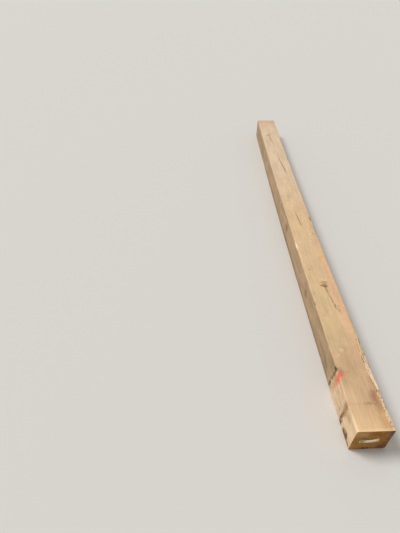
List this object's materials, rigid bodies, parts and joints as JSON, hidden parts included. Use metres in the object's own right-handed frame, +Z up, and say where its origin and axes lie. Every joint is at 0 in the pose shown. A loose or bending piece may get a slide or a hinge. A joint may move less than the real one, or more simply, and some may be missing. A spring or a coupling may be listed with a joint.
{
  "type": "pressure-treated timber post",
  "caption": "Pressure-treated square timber post, nine feet long, slightly bowed, with drying checks, a torn corner and a plain stapled end tag.",
  "frame": {"origin": "on the underside, below the middle of the bowed timber's box", "axes": "+Y runs along the post from the tagged end to the plain end, +Z up, +X across, on the hollow side of the bow"},
  "size_m": [0.1504, 2.7471, 0.1397],
  "materials": {
    "treated_timber": "planed, dried and checked treated softwood, golden brown with grey-brown sides",
    "tag_plastic": "thin pale plastic sheet with plain bands, dusty",
    "staple_wire": "galvanised flattened steel wire"
  },
  "bodies": {
    "root": {"post": "treated_timber", "end_tag": "tag_plastic", "tag_staple_left": "staple_wire", "tag_staple_right": "staple_wire"}
  },
  "joints": []
}
